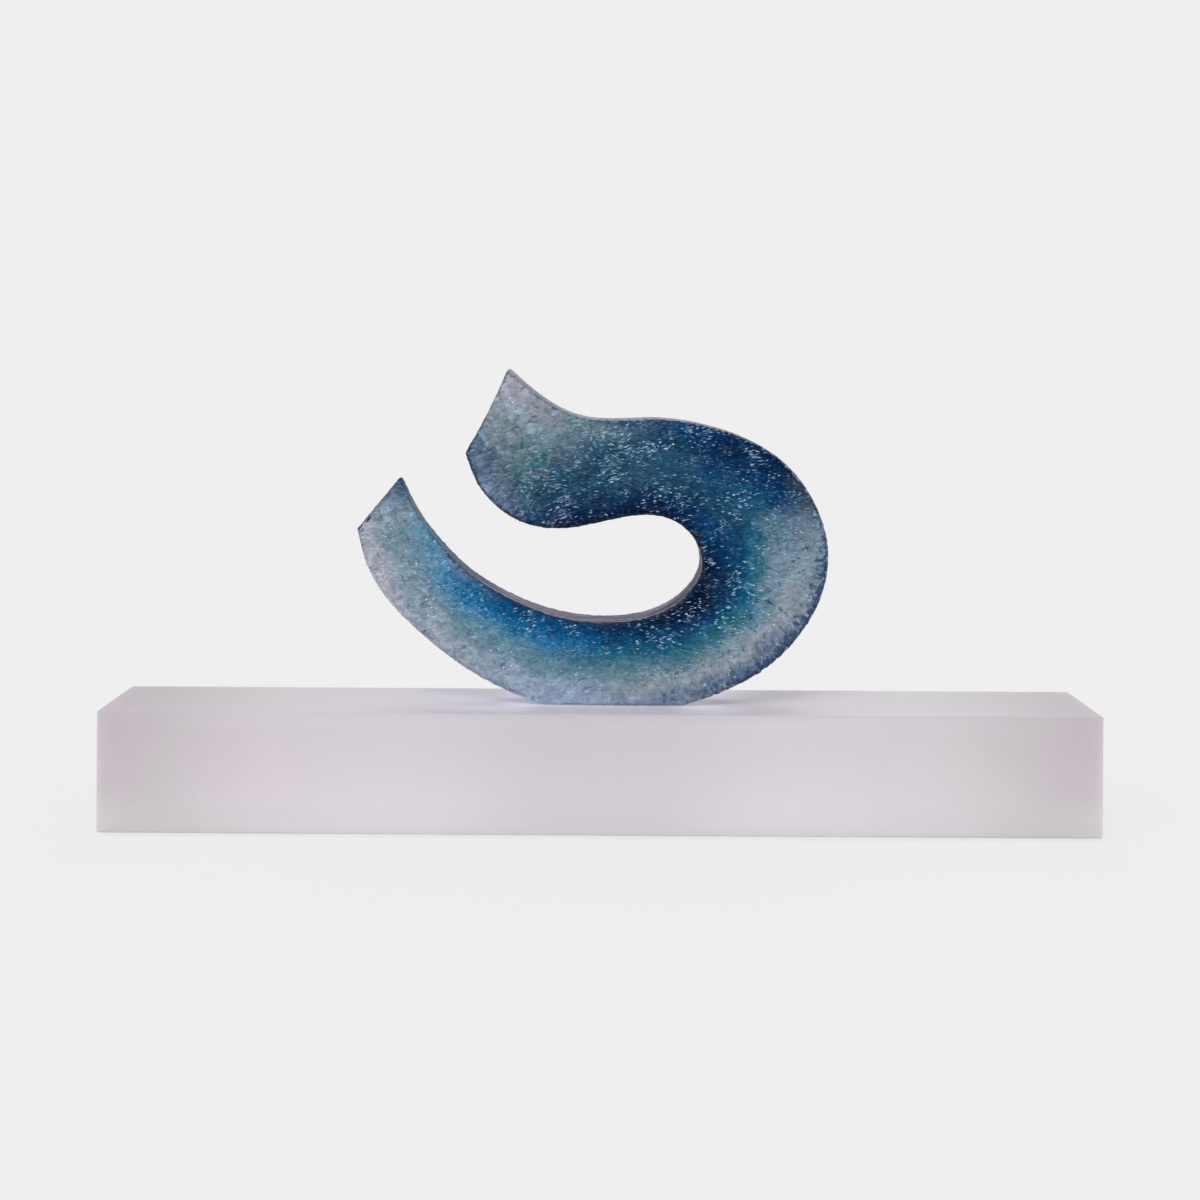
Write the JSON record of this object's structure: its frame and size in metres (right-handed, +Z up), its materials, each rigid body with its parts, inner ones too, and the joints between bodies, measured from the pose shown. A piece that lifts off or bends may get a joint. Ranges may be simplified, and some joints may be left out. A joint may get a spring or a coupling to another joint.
{
  "type": "spiral sculpture",
  "caption": "Abstract spiral sculpture: a thick translucent blue-green resin curl with a ground flat foot, pinned and bonded on a long frosted block.",
  "frame": {"origin": "on the surface that the foot pads stand on, under the middle of the block", "axes": "+Z up, +X along the block to the right as seen from the front, +Y towards the back"},
  "size_m": [0.6, 0.1, 0.2803],
  "materials": {
    "cast_resin": "rippled translucent cast resin, polished",
    "frosted_block": "frosted translucent acrylic, satin",
    "dowel_steel": "ground stainless dowel",
    "clear_pads": "clear polyurethane, satin"
  },
  "bodies": {
    "root": {"spiral_form": "cast_resin", "plinth_block": "frosted_block", "locating_pin_left": "dowel_steel", "locating_pin_right": "dowel_steel", "foot_pad_front_left": "clear_pads", "foot_pad_front_right": "clear_pads", "foot_pad_back_left": "clear_pads", "foot_pad_back_right": "clear_pads"}
  },
  "joints": []
}
